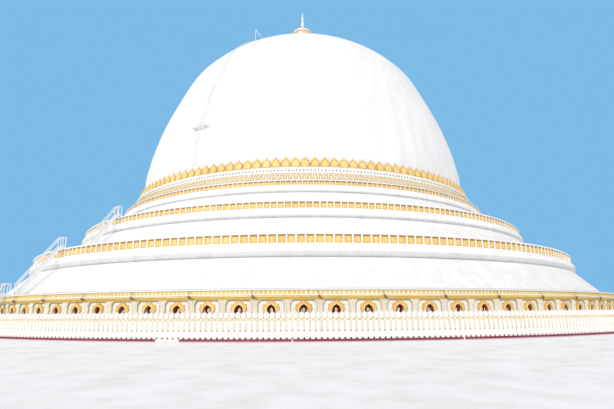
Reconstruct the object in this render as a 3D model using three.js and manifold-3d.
// Whitewashed brick stupa with a tall hemispherical dome on three round terraces,
// built as a 1:10 scale model: one millimetre here is ten millimetres of the building.
// +Z is up, the ground is Z = 0 and the axis of the dome is the Z axis.
// An azimuth of 0 degrees points along -Y, and azimuths grow towards +X.

import * as THREE from 'three';
import { mergeVertices } from 'three/addons/utils/BufferGeometryUtils.js';
import Module from 'manifold-3d';

const wasm = await Module();
wasm.setup();

// Driving dimensions, in millimetres of the model

const JOINT_GAP = 0.3; // clearance between pieces that meet on a slope or a facet
const ROUND_SEGMENTS = 48; // facets round a terrace or the dome
const WALL_SEGMENTS = 60; // facets round a course of the ring wall
const PLATFORM_SEGMENTS = 72;
const FINIAL_SEGMENTS = 20;

const PLATFORM_TOP = 10;
const RAILING_RADIUS = 4360; // middle of the posts
const RAILING_BAYS = 12;
const RAILING_FACETS = 6; // in one bay
const KERB_HALF_WIDTH = 18;
const KERB_TOP = 20;
const POST_HALF_DEPTH = 11;
const NECK_BAND = { bottom: 122, top: 131, halfDepth: 13.5 };
const POST_HEAD = { neck: 9, belly: 15, bellyHeight: 150, shoulder: 11, shoulderHeight: 164 };
const POST_TIP = { foot: 172, top: 190, halfDepth: 1.2 };

const NICHE_WALL_RADIUS = 4067;
const NICHE_WALL_THICKNESS = 107;
const NICHE_WALL_SEGMENTS = 12;
const NICHES_PER_SEGMENT = 10;
const NICHE_STEP = 360 / (NICHE_WALL_SEGMENTS * NICHES_PER_SEGMENT); // degrees
const NICHE_WIDTH = 60;
const NICHE_DEPTH = 52;
const NICHE_SILL = 98;
const NICHE_SPRING = 170; // where the pointed head starts
const NICHE_TOP = 212;
const NICHE_SHOULDER = { height: 197, share: 0.62 }; // on the curve of the head
const PILASTER_HALF_WIDTH = 16;
const PILASTER_PROJECTION = 12;
const PLINTH_COURSE_TOP = 50;
const PLINTH_COURSE_RADIUS = 4098;
const NICHE_WALL_TOP = 246;

const MOULDING_TOP = 271;
const MOULDING_RADIUS = 4105;
const TILE_COURSE_RADIUS = 4092;
const COPING_BOTTOM = 305;
const COPING_TOP = 319;
const COPING_RADIUS = 4110;

// Each terrace rises from a ledge: a sloping skirt, a round moulding and a gold band with a lip
const SKIRT_SLOPE = 0.92; // radius lost for each unit of height
const TERRACES = [
  { ledge: 319, notch: 585, bulge: 3720, bandBottom: 687, bandTop: 741, lipTop: 765, band: 3686 },
  { ledge: 765, notch: 989, bulge: 3207, bandBottom: 1081, bandTop: 1141, lipTop: 1164, band: 3170 },
  { ledge: 1164, notch: 1346, bulge: 2755, bandBottom: 1434, bandTop: 1488, lipTop: 1517, band: 2722 },
];
const NOTCH_DEPTH = 16; // how far the notch under a round moulding lies inside the bulge
const LIP_PROJECTION = 8;

const DOME_BASE_TOP = 1707;
const DOME_FOOT_RADIUS = 2495;
const DOME_CAP_RADIUS = 2350; // radius of curvature at the crown
const DOME_APEX = 4654;
const CROWN_RADII = [1120, 780]; // corners of the crown, above the side

const PETALS = 150;
const PETAL_FOOT_RADIUS = 2552;
const PETAL_VALLEY = 1729;
const PETAL_TOP = 1839;

const FINIAL_PLINTH_RADIUS = 430;
const FINIAL_PLINTH_TOP = 4812;
const BELL_TOP = 5063;
const UMBRELLA_TOP = 5262;
const FINIAL_TIP = 5658;

const STAIR_AZIMUTH = -37.9;
const STAIR_HALF_WIDTH = 32;
const STAIR_BAR = 6;
const TREAD_RISE = 28;
const TREAD_DEPTH = 16;
const TREAD_THICKNESS = 4;
const HANDRAIL_HEIGHT = 100;

const LADDER_AZIMUTH = -31.1;
const LADDER_HALF_WIDTH = 28;
const LADDER_BAR = 6;
const LADDER_RUNGS = 20;
const LADDER_STAND_OFF = 10;
const LADDER_HEAD_RADIUS = 1200;
const LANDING_AZIMUTH = -30.4;
const LANDING_HEIGHT = 2358;
const LANDING_THICKNESS = 6;
const LANDING_DEPTH = 70;
const LANDING_HALF_LENGTH = 121;
const LANDING_STAND_OFF = 1.7; // clears the corner of the dome behind it
const SUMMIT_POST_RADIUS = 1450;
const SUMMIT_BRACE_RADIUS = 1251;
const SUMMIT_POST_TOP = 4359;

// Colours of the paint on each kind of surface

const FINISHES = {
  whitewash: { color: 0xf4f2ee, roughness: 0.85, metalness: 0 },
  gold_paint: { color: 0xd9a441, roughness: 0.6, metalness: 0.1 },
  gilding: { color: 0xcf9f3c, roughness: 0.35, metalness: 0.8 },
  maroon_paint: { color: 0x8e3a4e, roughness: 0.7, metalness: 0 },
  white_steel: { color: 0xe6e8ea, roughness: 0.45, metalness: 0.2 },
  brickwork: { color: 0xb9a996, roughness: 0.95, metalness: 0 },
};

const stupa = new THREE.Group();

// Helpers

function radians(degrees) {
  return THREE.MathUtils.degToRad(degrees);
}

// The point at a radius and azimuth, at a height
function polar(radius, azimuth, height) {
  const angle = radians(azimuth);
  return new THREE.Vector3(radius * Math.sin(angle), -radius * Math.cos(angle), height);
}

// A closed mesh with shared vertices, no collapsed triangles and its faces turned out
function welded(geometry) {
  const bare = geometry.clone();
  bare.deleteAttribute('normal');
  bare.deleteAttribute('uv');
  const merged = mergeVertices(bare, 1e-3);
  const at = merged.getAttribute('position');
  const corners = merged.getIndex().array;
  const kept = [];
  let volume = 0;
  const [a, b, c] = [new THREE.Vector3(), new THREE.Vector3(), new THREE.Vector3()];
  for (let i = 0; i < corners.length; i += 3) {
    const face = [corners[i], corners[i + 1], corners[i + 2]];
    if (new Set(face).size < 3) continue;
    kept.push(...face);
    a.fromBufferAttribute(at, face[0]);
    b.fromBufferAttribute(at, face[1]);
    c.fromBufferAttribute(at, face[2]);
    volume += a.dot(b.cross(c));
  }
  if (volume < 0) kept.reverse();
  merged.setIndex(kept);
  return merged;
}

function toManifold(geometry) {
  const closed = welded(geometry);
  const mesh = new wasm.Mesh({
    numProp: 3,
    vertProperties: new Float32Array(closed.getAttribute('position').array),
    triVerts: new Uint32Array(closed.getIndex().array),
  });
  return new wasm.Manifold(mesh);
}

function fromManifold(solid) {
  const mesh = solid.getMesh();
  const geometry = new THREE.BufferGeometry();
  geometry.setAttribute('position', new THREE.BufferAttribute(new Float32Array(mesh.vertProperties), 3));
  geometry.setIndex(Array.from(mesh.triVerts));
  return geometry;
}

function joined(geometries) {
  const [first, ...rest] = geometries.map(toManifold);
  return fromManifold(rest.reduce((sum, solid) => sum.add(solid), first));
}

function place(name, geometry, finish) {
  const material = new THREE.MeshStandardMaterial(FINISHES[finish]);
  const mesh = new THREE.Mesh(welded(geometry), material);
  mesh.name = name;
  stupa.add(mesh);
}

// A solid of revolution, from (radius, height) points that start and end on the axis
function turned(points, segments = ROUND_SEGMENTS) {
  const profile = points.map(([radius, height]) => new THREE.Vector2(radius, height));
  return new THREE.LatheGeometry(profile, segments).rotateX(Math.PI / 2);
}

function outline(points) {
  return new THREE.Shape(points.map(([x, y]) => new THREE.Vector2(x, y)));
}

// A section of (radius, height) points swept round the axis between two azimuths
function sweptArc(section, from, to, facets) {
  const settings = { depth: 1, steps: facets, bevelEnabled: false };
  const geometry = new THREE.ExtrudeGeometry(outline(section), settings);
  const at = geometry.getAttribute('position');
  for (let i = 0; i < at.count; i += 1) {
    const azimuth = from + at.getZ(i) * (to - from);
    const point = polar(at.getX(i), azimuth, at.getY(i));
    at.setXYZ(i, point.x, point.y, point.z);
  }
  return geometry;
}

// A plate cut to an outline of (radius, height) points, standing on edge in the plane of an
// azimuth, with its middle that far to the side of the plane
function radialPlate(shape, azimuth, thickness, aside = 0) {
  const geometry = new THREE.ExtrudeGeometry(shape, { depth: thickness, bevelEnabled: false });
  geometry.translate(0, 0, aside - thickness / 2);
  geometry.rotateX(Math.PI / 2);
  geometry.rotateZ(radians(azimuth - 90));
  return geometry;
}

// A block in the same plane, by its inner and outer radius, its heights and its half width
function radialBlock(inner, outer, low, high, halfWidth, azimuth) {
  const shape = outline([[inner, low], [outer, low], [outer, high], [inner, high]]);
  return radialPlate(shape, azimuth, 2 * halfWidth);
}

// Platform, railing and niche wall

function platform() {
  const edge = RAILING_RADIUS - KERB_HALF_WIDTH - JOINT_GAP;
  return turned([[0, 0], [edge, 0], [edge, PLATFORM_TOP], [0, PLATFORM_TOP]], PLATFORM_SEGMENTS);
}

// Kerb, posts, gold neck band and pointed heads, as (half depth, height) pairs mirrored about
// the middle of the posts
function railingBay(index) {
  const half = [
    [KERB_HALF_WIDTH, 0],
    [KERB_HALF_WIDTH, KERB_TOP],
    [POST_HALF_DEPTH, KERB_TOP],
    [POST_HALF_DEPTH, NECK_BAND.bottom],
    [NECK_BAND.halfDepth, NECK_BAND.bottom],
    [NECK_BAND.halfDepth, NECK_BAND.top],
    [POST_HEAD.neck, NECK_BAND.top],
    [POST_HEAD.belly, POST_HEAD.bellyHeight],
    [POST_HEAD.shoulder, POST_HEAD.shoulderHeight],
    [POST_TIP.halfDepth * 2, POST_TIP.foot],
    [POST_TIP.halfDepth, POST_TIP.top],
  ];
  const outer = half.map(([depth, height]) => [RAILING_RADIUS + depth, height]);
  const inner = half.map(([depth, height]) => [RAILING_RADIUS - depth, height]).reverse();
  const section = [...outer, ...inner];
  const width = 360 / RAILING_BAYS;
  const seam = THREE.MathUtils.radToDeg(JOINT_GAP / RAILING_RADIUS) / 2;
  return sweptArc(section, index * width + seam, (index + 1) * width - seam, RAILING_FACETS);
}

function nicheCutter(azimuth) {
  const half = NICHE_WIDTH / 2;
  const { height, share } = NICHE_SHOULDER;
  const shape = outline([
    [-half, NICHE_SILL],
    [half, NICHE_SILL],
    [half, NICHE_SPRING],
    [share * half, height],
    [0, NICHE_TOP],
    [-share * half, height],
    [-half, NICHE_SPRING],
  ]);
  const depth = NICHE_DEPTH + 10; // so it reaches past the face of the wall
  const geometry = new THREE.ExtrudeGeometry(shape, { depth, bevelEnabled: false });
  geometry.rotateX(Math.PI / 2);
  geometry.translate(0, NICHE_DEPTH - NICHE_WALL_RADIUS * Math.cos(radians(NICHE_STEP / 2)), 0);
  return geometry.rotateZ(radians(azimuth));
}

// A segment's plan: flat bays, with a pilaster that stands proud where two bays meet. Each end
// is cut through the middle of a pilaster.
function nicheWallPlan(start) {
  const degrees = (length) => THREE.MathUtils.radToDeg(length / NICHE_WALL_RADIUS);
  const [side, seam] = [degrees(PILASTER_HALF_WIDTH), degrees(JOINT_GAP / 2)];
  const halfStep = NICHE_STEP / 2;
  const proud = NICHE_WALL_RADIUS + PILASTER_PROJECTION;
  const face = (NICHE_WALL_RADIUS * Math.cos(radians(halfStep))) / Math.cos(radians(halfStep - side));
  const end = start + NICHES_PER_SEGMENT * NICHE_STEP;
  const points = [polar(proud, start + seam, 0)];
  for (let corner = start; corner < end - halfStep; corner += NICHE_STEP) {
    points.push(polar(proud, corner + side, 0), polar(face, corner + side, 0));
    const next = corner + NICHE_STEP;
    points.push(polar(face, next - side, 0), polar(proud, next - side, 0));
  }
  points.push(polar(proud, end - seam, 0));
  const back = NICHE_WALL_RADIUS - NICHE_WALL_THICKNESS;
  points.push(polar(back, end - seam, 0));
  for (let corner = end - NICHE_STEP; corner > start + halfStep; corner -= NICHE_STEP) {
    points.push(polar(back, corner, 0));
  }
  points.push(polar(back, start + seam, 0));
  return outline(points.map(({ x, y }) => [x, y]));
}

// The first niche of a segment lies half a step past the middle of the pilaster it starts at
function nicheWall(index) {
  const start = (index * NICHES_PER_SEGMENT - NICHES_PER_SEGMENT / 2 - 0.5) * NICHE_STEP;
  const depth = NICHE_WALL_TOP - PLINTH_COURSE_TOP;
  const block = new THREE.ExtrudeGeometry(nicheWallPlan(start), { depth, bevelEnabled: false });
  let wall = toManifold(block.translate(0, 0, PLINTH_COURSE_TOP));
  for (let niche = 0; niche < NICHES_PER_SEGMENT; niche += 1) {
    wall = wall.subtract(toManifold(nicheCutter(start + (niche + 0.5) * NICHE_STEP)));
  }
  return fromManifold(wall);
}

// A plain round course of the wall, between two heights
function course(edge, low, high) {
  return turned([[0, low], [edge, low], [edge, high], [0, high]], WALL_SEGMENTS);
}

function plinthCourse() {
  return course(PLINTH_COURSE_RADIUS, PLATFORM_TOP, PLINTH_COURSE_TOP);
}

// The brick mass behind the niche wall, which carries the terraces
function core() {
  const facet = Math.cos(radians(NICHE_STEP / 2));
  const edge = (NICHE_WALL_RADIUS - NICHE_WALL_THICKNESS) * facet - JOINT_GAP;
  return course(edge, PLINTH_COURSE_TOP, NICHE_WALL_TOP);
}

function goldMoulding() {
  return turned([
    [0, NICHE_WALL_TOP],
    [NICHE_WALL_RADIUS + PILASTER_PROJECTION, NICHE_WALL_TOP],
    [MOULDING_RADIUS, NICHE_WALL_TOP + 9],
    [MOULDING_RADIUS, MOULDING_TOP],
    [0, MOULDING_TOP],
  ], WALL_SEGMENTS);
}

function tileCourse() {
  return turned([
    [0, MOULDING_TOP],
    [TILE_COURSE_RADIUS, MOULDING_TOP],
    [TILE_COURSE_RADIUS, COPING_BOTTOM],
    [COPING_RADIUS, COPING_BOTTOM],
    [COPING_RADIUS, COPING_TOP],
    [0, COPING_TOP],
  ], WALL_SEGMENTS);
}

// Terraces

function terrace({ ledge, notch, bulge, bandBottom, band }) {
  const neck = bulge - NOTCH_DEPTH;
  const foot = neck + (notch - ledge) * SKIRT_SLOPE;
  const rise = bandBottom - notch;
  return turned([
    [0, ledge],
    [foot, ledge],
    [neck, notch],
    [bulge, notch + 0.3 * rise],
    [bulge, notch + 0.65 * rise],
    [band, bandBottom],
    [0, bandBottom],
  ]);
}

function goldBand({ bandBottom, bandTop, lipTop, band }) {
  return turned([
    [0, bandBottom],
    [band, bandBottom],
    [band, bandTop],
    [band + LIP_PROJECTION, bandTop],
    [band + LIP_PROJECTION, lipTop],
    [0, lipTop],
  ]);
}

// Sloping courses of small gold squares and beads, and the white moulding under the petals
function domeBase() {
  const foot = TERRACES[2].lipTop;
  return turned([
    [0, foot],
    [2692, foot],
    [2668, foot + 22],
    [2618, foot + 92],
    [2594, foot + 104],
    [2590, foot + 140],
    [2600, foot + 165],
    [2558, DOME_BASE_TOP],
    [0, DOME_BASE_TOP],
  ]);
}

// The dome's side, as (radius, height) pairs from the foot to the shoulder
const DOME_SIDE = [
  [DOME_FOOT_RADIUS, DOME_BASE_TOP],
  [2488, 1850],
  [2486, 2050],
  [2460, 2200],
  [2420, 2400],
  [2305, 2800],
  [2145, 3200],
  [1964, 3600],
  [1824, 3800],
  [1635, 4000],
  [1388, 4200],
];

function crownHeight(radius) {
  return DOME_APEX - DOME_CAP_RADIUS + Math.sqrt(DOME_CAP_RADIUS ** 2 - radius ** 2);
}

function domeProfile() {
  const radii = [...CROWN_RADII, FINIAL_PLINTH_RADIUS];
  return [...DOME_SIDE, ...radii.map((radius) => [radius, crownHeight(radius)])];
}

// The dome's radius at a height, on its side
function domeRadius(height) {
  const profile = domeProfile();
  const next = profile.findIndex(([, z]) => z >= height);
  const [r1, z1] = profile[next];
  const [r0, z0] = profile[next - 1];
  return r0 + ((r1 - r0) * (height - z0)) / (z1 - z0);
}

// How far out a faceted ring of that radius reaches in the plane of an azimuth, or to its side
function facetReach(radius, azimuth, aside = 0) {
  const step = 360 / ROUND_SEGMENTS;
  const flat = radius * Math.cos(radians(step / 2));
  const first = Math.floor(azimuth / step) * step + step / 2;
  const reaches = [-1, 0, 1].map((turn) => {
    const lean = radians(first + turn * step - azimuth);
    return (flat + aside * Math.sin(lean)) / Math.cos(lean);
  });
  return Math.min(...reaches);
}

function dome() {
  const profile = domeProfile();
  const top = profile.at(-1)[1];
  return turned([[0, DOME_BASE_TOP], ...profile, [0, top]]);
}

// A ring of pointed leaves that lean against the dome's foot: one facet for each half leaf
function lotusCrown() {
  const facets = 2 * PETALS;
  const inner = DOME_FOOT_RADIUS + JOINT_GAP;
  const profile = [
    new THREE.Vector2(inner, DOME_BASE_TOP),
    new THREE.Vector2(PETAL_FOOT_RADIUS, DOME_BASE_TOP),
    new THREE.Vector2(inner + 4, PETAL_VALLEY),
    new THREE.Vector2(inner, DOME_BASE_TOP),
  ];
  const geometry = new THREE.LatheGeometry(profile, facets);
  const at = geometry.getAttribute('position');
  const tipRadius = domeRadius(PETAL_TOP) + JOINT_GAP + 4;
  for (let i = 0; i < at.count; i += 1) {
    const isTop = i % profile.length === 2;
    const facet = Math.floor(i / profile.length);
    if (isTop && facet % 2 === 1) {
      const shrink = tipRadius / Math.hypot(at.getX(i), at.getZ(i));
      at.setXYZ(i, shrink * at.getX(i), PETAL_TOP, shrink * at.getZ(i));
    }
  }
  return geometry.rotateX(Math.PI / 2);
}

// Finial

function finialPlinth() {
  const low = domeProfile().at(-1)[1];
  return turned([
    [0, low],
    [FINIAL_PLINTH_RADIUS - 20, low],
    [FINIAL_PLINTH_RADIUS - 20, low + 50],
    [FINIAL_PLINTH_RADIUS - 80, low + 60],
    [FINIAL_PLINTH_RADIUS - 80, low + 105],
    [FINIAL_PLINTH_RADIUS - 130, low + 115],
    [FINIAL_PLINTH_RADIUS - 130, FINIAL_PLINTH_TOP],
    [0, FINIAL_PLINTH_TOP],
  ], FINIAL_SEGMENTS);
}

function finialBell() {
  return turned([
    [0, FINIAL_PLINTH_TOP],
    [275, FINIAL_PLINTH_TOP],
    [285, 4847],
    [248, 4922],
    [205, 5002],
    [190, BELL_TOP],
    [0, BELL_TOP],
  ], FINIAL_SEGMENTS);
}

function umbrella() {
  return turned([
    [0, BELL_TOP],
    [150, BELL_TOP],
    [182, 5165],
    [184, 5190],
    [165, 5206],
    [108, 5234],
    [46, 5254],
    [38, UMBRELLA_TOP],
    [0, UMBRELLA_TOP],
  ], FINIAL_SEGMENTS);
}

function spireBud() {
  return turned([
    [0, UMBRELLA_TOP],
    [38, UMBRELLA_TOP],
    [30, 5310],
    [26, 5400],
    [28, 5415],
    [19, 5440],
    [20, 5480],
    [3, FINIAL_TIP],
    [0, FINIAL_TIP],
  ], FINIAL_SEGMENTS);
}

// Steel stairs and ladder

// One side of a stair: stringer, hook on the upper ledge, posts and handrail, as a flat frame
function stairSide(foot, head, low, high, hook) {
  const run = (foot - head) / (high - low);
  const depth = 14;
  const railAt = (height) => foot - (height - low) * run;
  const rail = HANDRAIL_HEIGHT;
  const frame = outline([
    [foot + depth, low],
    [foot + depth, low + rail],
    [head + depth, high + rail],
    [head - hook, high + rail],
    [head - hook, high + 0.3],
    [head - STAIR_BAR, high + 0.3],
    [foot - depth, low],
  ]);
  const middle = (low + high) / 2;
  const bar = STAIR_BAR;
  const openings = [
    [[railAt(low) + depth - bar, low + 2 * bar], [railAt(middle) + depth + bar / 2, middle + bar]],
    [[railAt(middle) + depth - bar / 2, middle + 2 * bar], [head + depth, high + bar]],
  ];
  for (const [[lowerRadius, lowerHeight], [upperRadius, upperHeight]] of openings) {
    frame.holes.push(new THREE.Path([
      new THREE.Vector2(lowerRadius, lowerHeight + 4),
      new THREE.Vector2(lowerRadius, lowerHeight + rail - 3.5 * bar),
      new THREE.Vector2(upperRadius, upperHeight + rail - 3 * bar),
      new THREE.Vector2(upperRadius, upperHeight + bar),
    ]));
  }
  frame.holes.push(new THREE.Path([
    new THREE.Vector2(head + depth - bar, high + 3 * bar),
    new THREE.Vector2(head + depth - bar, high + rail - bar),
    new THREE.Vector2(head - hook + bar, high + rail - bar),
    new THREE.Vector2(head - hook + bar, high + 2 * bar),
  ]));
  return frame;
}

function stair(foot, head, low, high, hook) {
  const side = stairSide(foot, head, low, high, hook);
  const offset = STAIR_HALF_WIDTH - STAIR_BAR / 2;
  const pieces = [-offset, offset].map((aside) => radialPlate(side, STAIR_AZIMUTH, STAIR_BAR, aside));
  const count = Math.round((high - low) / TREAD_RISE) - 1;
  const rise = (high - low) / (count + 1);
  for (let i = 1; i <= count; i += 1) {
    const top = low + i * rise;
    const radius = foot - ((top - low) * (foot - head)) / (high - low);
    const [inner, outer] = [radius - TREAD_DEPTH / 2, radius + TREAD_DEPTH / 2];
    pieces.push(radialBlock(inner, outer, top - TREAD_THICKNESS, top, offset, STAIR_AZIMUTH));
  }
  return joined(pieces);
}

// The corners of the dome's side that the ladder follows
function ladderCorners() {
  return domeProfile().slice(1).filter(([radius]) => radius > LADDER_HEAD_RADIUS);
}

// A point at a share of the ladder's length from its foot, and the outward direction there
function alongDome(share) {
  const profile = ladderCorners();
  const lengths = profile.slice(1).map(([r, z], i) => {
    const [previousRadius, previousHeight] = profile[i];
    return Math.hypot(r - previousRadius, z - previousHeight);
  });
  const total = lengths.reduce((sum, length) => sum + length, 0);
  let left = share * total;
  let i = 0;
  while (i < lengths.length - 1 && left > lengths[i]) {
    left -= lengths[i];
    i += 1;
  }
  const [r0, z0] = profile[i];
  const [r1, z1] = profile[i + 1];
  const along = new THREE.Vector2(r1 - r0, z1 - z0).normalize();
  const point = new THREE.Vector2(r0, z0).addScaledVector(along, left);
  return { point, outward: new THREE.Vector2(along.y, -along.x) };
}

// A flat stile that follows the dome, with feet that reach its surface
function ladderStile() {
  const standOff = LADDER_STAND_OFF;
  const corners = ladderCorners();
  const outer = [];
  const inner = [];
  corners.forEach(([radius, height], i) => {
    const before = corners[Math.max(i - 1, 0)];
    const after = corners[Math.min(i + 1, corners.length - 1)];
    const along = new THREE.Vector2(after[0] - before[0], after[1] - before[1]).normalize();
    const outward = new THREE.Vector2(along.y, -along.x);
    const at = new THREE.Vector2(radius, height);
    const shift = (out, up) => at.clone().addScaledVector(outward, out).addScaledVector(along, up);
    outer.push(shift(standOff + LADDER_BAR, 0));
    inner.push(shift(standOff, -3), shift(0.7, -3), shift(0.7, 3), shift(standOff, 3));
  });
  return new THREE.Shape([...outer, ...inner.reverse()]);
}

function domeLadder() {
  const offset = LADDER_HALF_WIDTH - LADDER_BAR / 2;
  const stile = ladderStile();
  const pieces = [-offset, offset].map((aside) => radialPlate(stile, LADDER_AZIMUTH, LADDER_BAR, aside));
  for (let i = 0; i < LADDER_RUNGS; i += 1) {
    const { point, outward } = alongDome((i + 0.5) / LADDER_RUNGS);
    const centre = point.clone().addScaledVector(outward, LADDER_STAND_OFF + LADDER_BAR / 2);
    const rung = [centre.x - 2, centre.x + 2, centre.y - 2, centre.y + 2];
    pieces.push(radialBlock(...rung, offset, LADDER_AZIMUTH));
  }
  return joined(pieces);
}

// A short catwalk beside the ladder, halfway up, with a handrail along its outer edge
function ladderLanding() {
  const [low, high] = [LANDING_HEIGHT - LANDING_THICKNESS, LANDING_HEIGHT];
  const inner = facetReach(domeRadius(low), LANDING_AZIMUTH) + LANDING_STAND_OFF;
  const outer = inner + LANDING_DEPTH;
  const bar = LADDER_BAR;
  const floor = toManifold(radialBlock(inner, outer, low, high, LANDING_HALF_LENGTH, LANDING_AZIMUTH));
  const room = LADDER_HALF_WIDTH + 4;
  const clear = radialBlock(inner - 50, inner + 32, low - 5, high + 5, room, LADDER_AZIMUTH);
  const pieces = [fromManifold(floor.subtract(toManifold(clear)))];
  const top = high + HANDRAIL_HEIGHT;
  const [postInner, postOuter] = [outer - 1.5 * bar, outer - 0.5 * bar];
  const post = [[postInner, low + 2], [postOuter, low + 2], [postOuter, top - 2], [postInner, top - 2]];
  const end = LANDING_HALF_LENGTH - bar;
  for (const aside of [-end, -end / 3, end / 3, end]) {
    pieces.push(radialPlate(outline(post), LANDING_AZIMUTH, bar, aside));
  }
  const [railInner, railOuter] = [postInner - 1, postOuter + 1];
  pieces.push(radialBlock(railInner, railOuter, top - bar, top, LANDING_HALF_LENGTH, LANDING_AZIMUTH));
  for (const aside of [-0.5 * end, 0.8 * end]) {
    const reach = (height) => facetReach(domeRadius(height), LANDING_AZIMUTH, aside) + 2;
    const foot = low - LANDING_DEPTH;
    const middle = low + LANDING_THICKNESS / 2;
    const bracket = outline([
      [reach(foot), foot],
      [reach(foot) + bar, foot],
      [outer - 2 * bar, middle],
      [inner + bar, middle],
    ]);
    pieces.push(radialPlate(bracket, LANDING_AZIMUTH, bar, aside));
  }
  return joined(pieces);
}

// A post with a sloping brace at the head of the ladder
function summitPost() {
  const aside = -LADDER_HALF_WIDTH - 2 * LADDER_BAR;
  const heightAt = (radius) => {
    let [low, high] = [3600, 4500];
    while (high - low > 0.01) {
      const middle = (low + high) / 2;
      if (facetReach(domeRadius(middle), LADDER_AZIMUTH, aside) > radius) low = middle;
      else high = middle;
    }
    return high + 1.2;
  };
  const half = LADDER_BAR / 2;
  const [post, brace, top] = [SUMMIT_POST_RADIUS, SUMMIT_BRACE_RADIUS, SUMMIT_POST_TOP];
  const frame = outline([
    [post + half, heightAt(post - half)],
    [post + half, top],
    [post - half, top],
    [brace - half, heightAt(brace - half) + 1],
    [brace + 2 * half, heightAt(brace - half)],
    [post - half, top - 3 * LADDER_BAR],
    [post - half, heightAt(post - half)],
  ]);
  return radialPlate(frame, LADDER_AZIMUTH, LADDER_BAR, aside);
}

place('platform', platform(), 'brickwork');
for (let i = 0; i < RAILING_BAYS; i += 1) {
  place(`railing_bay_${String(i + 1).padStart(2, '0')}`, railingBay(i), 'whitewash');
}
place('plinth_course', plinthCourse(), 'maroon_paint');
place('brick_core', core(), 'brickwork');
for (let i = 0; i < NICHE_WALL_SEGMENTS; i += 1) {
  place(`niche_wall_${String(i + 1).padStart(2, '0')}`, nicheWall(i), 'whitewash');
}
place('gold_moulding', goldMoulding(), 'gold_paint');
place('tile_course', tileCourse(), 'whitewash');
TERRACES.forEach((sizes, i) => {
  place(`terrace_${i + 1}`, terrace(sizes), 'whitewash');
  place(`gold_band_${i + 1}`, goldBand(sizes), 'gold_paint');
});
place('dome_base', domeBase(), 'whitewash');
place('lotus_crown', lotusCrown(), 'gold_paint');
place('dome', dome(), 'whitewash');
place('finial_plinth', finialPlinth(), 'whitewash');
place('finial_bell', finialBell(), 'gilding');
place('umbrella', umbrella(), 'gilding');
place('spire_bud', spireBud(), 'gilding');

const stairLedges = [
  { foot: 4290, head: 4112, low: PLATFORM_TOP, high: COPING_TOP, hook: 36 },
  { foot: 4018, head: 3718, low: COPING_TOP, high: TERRACES[0].lipTop, hook: 36 },
  { foot: 3468, head: 3203, low: TERRACES[0].lipTop, high: TERRACES[1].lipTop, hook: 36 },
];
stairLedges.forEach(({ foot, head, low, high, hook }, i) => {
  place(`stair_${i + 1}`, stair(foot, head, low, high, hook), 'white_steel');
});
place('dome_ladder', domeLadder(), 'white_steel');
place('ladder_landing', ladderLanding(), 'white_steel');
place('summit_post', summitPost(), 'white_steel');

export default stupa;
